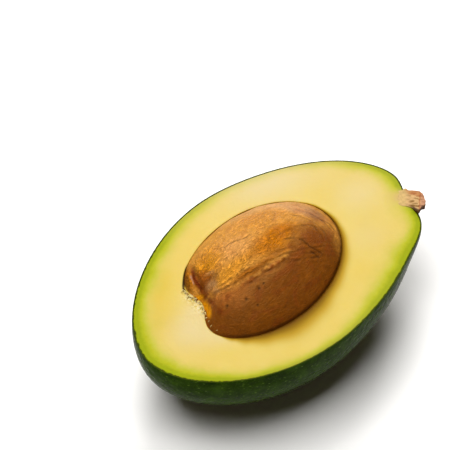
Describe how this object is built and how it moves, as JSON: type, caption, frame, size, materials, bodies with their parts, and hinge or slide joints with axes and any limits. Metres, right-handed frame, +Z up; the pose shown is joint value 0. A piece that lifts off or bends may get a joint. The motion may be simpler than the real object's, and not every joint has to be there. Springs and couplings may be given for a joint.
{
  "type": "halved avocado",
  "caption": "Avocado cut lengthwise, with dark green skin, pale yellow flesh, its brown stone in place and a split stub of stem, resting on its belly.",
  "frame": {"origin": "on the surface the half rests on, under the middle of its box", "axes": "+X along the fruit towards the stem, +Y across the cut face, +Z up, square to the cut face"},
  "size_m": [0.111, 0.0722, 0.0511],
  "materials": {
    "skin": "thin dark green peel, waxy semi-gloss with fine pebbling and pale specks",
    "flesh": "moist pale yellow flesh, yellow-green towards the skin, satin",
    "stone": "dry tan to brown seed coat, satin, finely wrinkled",
    "stem": "dry fibrous stalk, matt, split lengthwise"
  },
  "bodies": {
    "root": {"skin": "skin", "flesh": "flesh", "stone": "stone", "stem": "stem"}
  },
  "joints": []
}
